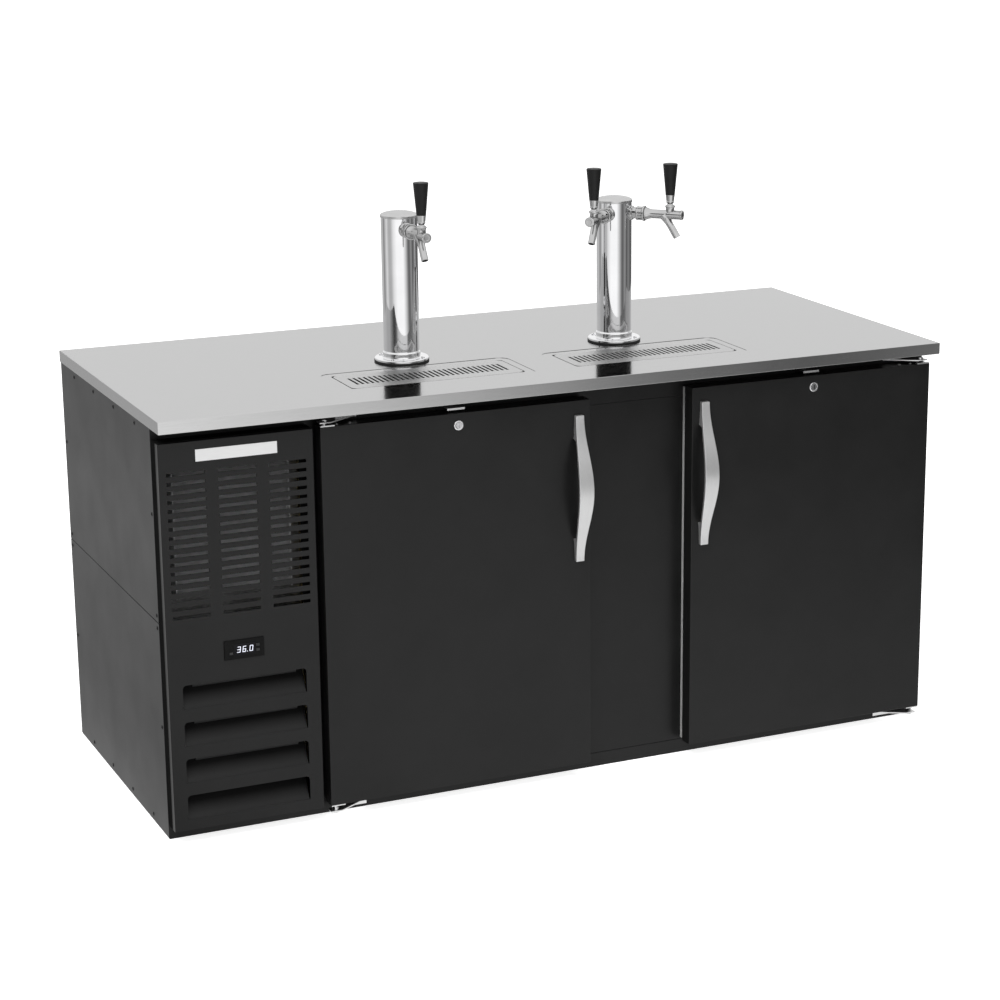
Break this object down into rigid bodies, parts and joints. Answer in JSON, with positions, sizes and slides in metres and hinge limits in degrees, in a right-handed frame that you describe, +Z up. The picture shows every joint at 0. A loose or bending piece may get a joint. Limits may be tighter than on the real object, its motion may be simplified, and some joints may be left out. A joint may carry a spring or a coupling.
{
  "type": "direct draw beer dispenser",
  "caption": "Black keg cooler with hinged doors, a side machine bay, a stainless worktop with drip trays, and chrome draught towers with taps.",
  "frame": {"origin": "on the floor, at the centre of the cabinet's footprint", "axes": "+X to the viewer's right along the front, +Y to the back, +Z up"},
  "size_m": [1.753, 0.781, 1.267],
  "materials": {
    "black_paint": "satin",
    "foam": "matte",
    "white_liner": "satin",
    "worktop_steel": "satin",
    "satin_steel": "satin",
    "chrome": "polished",
    "plain_steel": "satin",
    "black_plastic": "satin",
    "dark_window": "gloss",
    "grey_plastic": "matte",
    "black_rubber": "matte",
    "grey_rubber": "matte",
    "cast_shell": "satin",
    "fins": "satin",
    "copper": "satin"
  },
  "bodies": {
    "cabinet": {"base_pan": "black_paint", "left_side_panels": "black_paint", "right_side_panel": "black_paint", "rear_panel": "black_paint", "front_frame": "black_paint", "grille_panel": "black_paint", "insulation": "foam", "inner_liner": "white_liner", "evaporator_cover": "white_liner", "worktop": "worktop_steel", "drip_pans": "worktop_steel", "tray_drains": "worktop_steel", "screws": "satin_steel", "name_plate": "satin_steel", "hinge_brackets": "satin_steel", "lock_strikes": "satin_steel", "single_tower": "chrome", "double_tower": "chrome", "tower_caps": "chrome", "faucet_shanks": "chrome", "coupling_nuts": "chrome", "faucet_bodies": "chrome", "fan_motors": "plain_steel", "condenser_shroud": "plain_steel", "controller_case": "black_plastic", "wall_grommets": "black_plastic", "controller_window": "dark_window", "tower_gaskets": "black_rubber", "compressor": "cast_shell", "condenser_coil": "fins", "evaporator_coil": "fins", "refrigerant_pipes": "copper"},
    "left_door": {"left_door_skin": "black_paint", "left_door_liner": "white_liner", "left_door_handle": "satin_steel", "left_door_gasket": "grey_rubber", "left_lock_body": "satin_steel"},
    "right_door": {"right_door_skin": "black_paint", "right_door_liner": "white_liner", "right_door_handle": "satin_steel", "right_door_gasket": "grey_rubber", "right_lock_body": "satin_steel"},
    "left_lock": {"left_lock_plug": "chrome"},
    "right_lock": {"right_lock_plug": "chrome"},
    "single_lever": {"single_tap_lever": "chrome", "single_tap_handle": "black_plastic"},
    "single_plunger": {"single_tap_plunger": "plain_steel"},
    "double_left_lever": {"double_left_tap_lever": "chrome", "double_left_tap_handle": "black_plastic"},
    "double_left_plunger": {"double_left_tap_plunger": "plain_steel"},
    "double_right_lever": {"double_right_tap_lever": "chrome", "double_right_tap_handle": "black_plastic"},
    "double_right_plunger": {"double_right_tap_plunger": "plain_steel"},
    "condenser_rotor": {"condenser_fan": "grey_plastic"},
    "evaporator_rotor": {"evaporator_fan": "grey_plastic"},
    "left_grille": {"drip_grille_left": "satin_steel"},
    "right_grille": {"drip_grille_right": "satin_steel"},
    "button_set": {"key_set": "grey_plastic"},
    "button_up": {"key_up": "grey_plastic"},
    "button_down": {"key_down": "grey_plastic"}
  },
  "joints": [
    {"name": "left_door_swing", "type": "hinge", "parent": "cabinet", "child": "left_door", "pos_m": [-0.531, -0.372, 0.429], "axis": [0, 0, -1], "range_deg": [0, 110]},
    {"name": "left_lock_turn", "type": "hinge", "parent": "left_door", "child": "left_lock", "pos_m": [-0.252, -0.389, 0.802], "axis": [0, -1, 0], "range_deg": [0, 90]},
    {"name": "right_door_swing", "type": "hinge", "parent": "cabinet", "child": "right_door", "pos_m": [0.851, -0.372, 0.429], "axis": [0, 0, 1], "range_deg": [0, 110]},
    {"name": "right_lock_turn", "type": "hinge", "parent": "right_door", "child": "right_lock", "pos_m": [0.572, -0.389, 0.802], "axis": [0, -1, 0], "range_deg": [0, 90]},
    {"name": "single_tap_pull", "type": "hinge", "parent": "cabinet", "child": "single_lever", "pos_m": [-0.249, -0.1995, 1.175], "axis": [1, 0, 0], "range_deg": [0, 30]},
    {"name": "single_plunger_slide", "type": "slide", "parent": "cabinet", "child": "single_plunger", "axis": [0, 1, 0], "range_m": [0, 0.0103]},
    {"name": "double_left_tap_pull", "type": "hinge", "parent": "cabinet", "child": "double_left_lever", "pos_m": [0.15842, -0.16151, 1.175], "axis": [0.7009, -0.7133, 0], "range_deg": [0, 30]},
    {"name": "double_left_plunger_slide", "type": "slide", "parent": "cabinet", "child": "double_left_plunger", "axis": [0.7133, 0.7009, 0], "range_m": [0, 0.0103]},
    {"name": "double_right_tap_pull", "type": "hinge", "parent": "cabinet", "child": "double_right_lever", "pos_m": [0.33958, -0.16151, 1.175], "axis": [0.7009, 0.7133, 0], "range_deg": [0, 30]},
    {"name": "double_right_plunger_slide", "type": "slide", "parent": "cabinet", "child": "double_right_plunger", "axis": [-0.7133, 0.7009, 0], "range_m": [0, 0.0103]},
    {"name": "condenser_fan_spin", "type": "hinge", "parent": "cabinet", "child": "condenser_rotor", "pos_m": [-0.713, -0.282, 0.642], "axis": [0, 1, 0], "continuous": true},
    {"name": "evaporator_fan_spin", "type": "hinge", "parent": "cabinet", "child": "evaporator_rotor", "pos_m": [-0.447, 0.0805, 0.7035], "axis": [1, 0, 0], "continuous": true},
    {"name": "left_grille_lift", "type": "slide", "parent": "cabinet", "child": "left_grille", "axis": [0, 0, 1], "range_m": [0, 0.06]},
    {"name": "right_grille_lift", "type": "slide", "parent": "cabinet", "child": "right_grille", "axis": [0, 0, 1], "range_m": [0, 0.06]},
    {"name": "button_set_press", "type": "slide", "parent": "cabinet", "child": "button_set", "axis": [0, 1, 0], "range_m": [0, 0.0006], "stiffness_N_per_m": 200},
    {"name": "button_up_press", "type": "slide", "parent": "cabinet", "child": "button_up", "axis": [0, 1, 0], "range_m": [0, 0.0006], "stiffness_N_per_m": 200},
    {"name": "button_down_press", "type": "slide", "parent": "cabinet", "child": "button_down", "axis": [0, 1, 0], "range_m": [0, 0.0006], "stiffness_N_per_m": 200}
  ],
  "couplings": [
    {"joint": "single_plunger_slide", "follows": "single_tap_pull", "m_per_rad": 0.0195},
    {"joint": "double_left_plunger_slide", "follows": "double_left_tap_pull", "m_per_rad": 0.0195},
    {"joint": "double_right_plunger_slide", "follows": "double_right_tap_pull", "m_per_rad": 0.0195}
  ]
}
